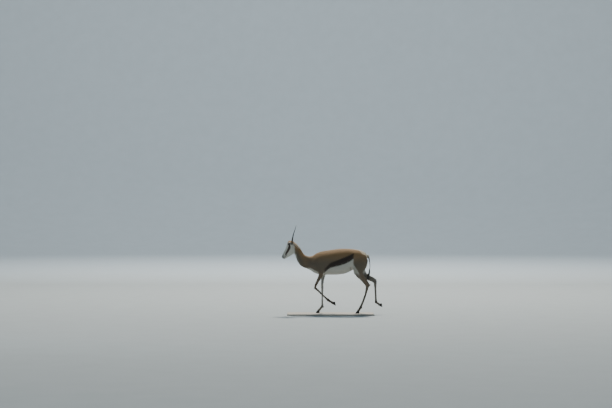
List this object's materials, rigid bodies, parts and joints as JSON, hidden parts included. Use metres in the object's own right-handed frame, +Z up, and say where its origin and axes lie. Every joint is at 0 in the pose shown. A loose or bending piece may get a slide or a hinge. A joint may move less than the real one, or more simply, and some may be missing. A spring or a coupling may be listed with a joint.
{
  "type": "springbok model",
  "caption": "Life-size still model of a springbok ewe in mid stride, with slender ringed horns, cupped ears and a tufted tail, on a plain flat display base.",
  "frame": {"origin": "bottom centre of the whole model's box, on the underside of the display base", "axes": "+Z up; the animal faces -X; its left side faces -Y"},
  "size_m": [1.26, 0.4, 1.1207],
  "materials": {
    "coat": "short flat fur in cinnamon, white and dark brown",
    "tuft": "long black hair",
    "horn": "ringed dark horn",
    "hoof": "smooth dark hoof horn",
    "eye": "wet and glossy",
    "stand": "plain matt board"
  },
  "bodies": {
    "root": {"hoof_foreleg_left_outer": "hoof", "dewclaw_foreleg_left_outer": "hoof", "hoof_foreleg_left_inner": "hoof", "dewclaw_foreleg_left_inner": "hoof", "pastern_foreleg_left": "coat", "cannon_foreleg_left": "coat", "hoof_foreleg_right_inner": "hoof", "dewclaw_foreleg_right_inner": "hoof", "hoof_foreleg_right_outer": "hoof", "dewclaw_foreleg_right_outer": "hoof", "pastern_foreleg_right": "coat", "cannon_foreleg_right": "coat", "hoof_hindleg_left_outer": "hoof", "dewclaw_hindleg_left_outer": "hoof", "hoof_hindleg_left_inner": "hoof", "dewclaw_hindleg_left_inner": "hoof", "pastern_hindleg_left": "coat", "cannon_hindleg_left": "coat", "hoof_hindleg_right_inner": "hoof", "dewclaw_hindleg_right_inner": "hoof", "hoof_hindleg_right_outer": "hoof", "dewclaw_hindleg_right_outer": "hoof", "pastern_hindleg_right": "coat", "cannon_hindleg_right": "coat", "foreleg_left": "coat", "foreleg_right": "coat", "hindleg_left": "coat", "hindleg_right": "coat", "ear_left": "coat", "horn_left": "horn", "eye_left": "eye", "ear_right": "coat", "horn_right": "horn", "eye_right": "eye", "head": "coat", "neck": "coat", "torso": "coat", "tail": "coat", "tail_tuft": "tuft", "stand_base": "stand"}
  },
  "joints": []
}
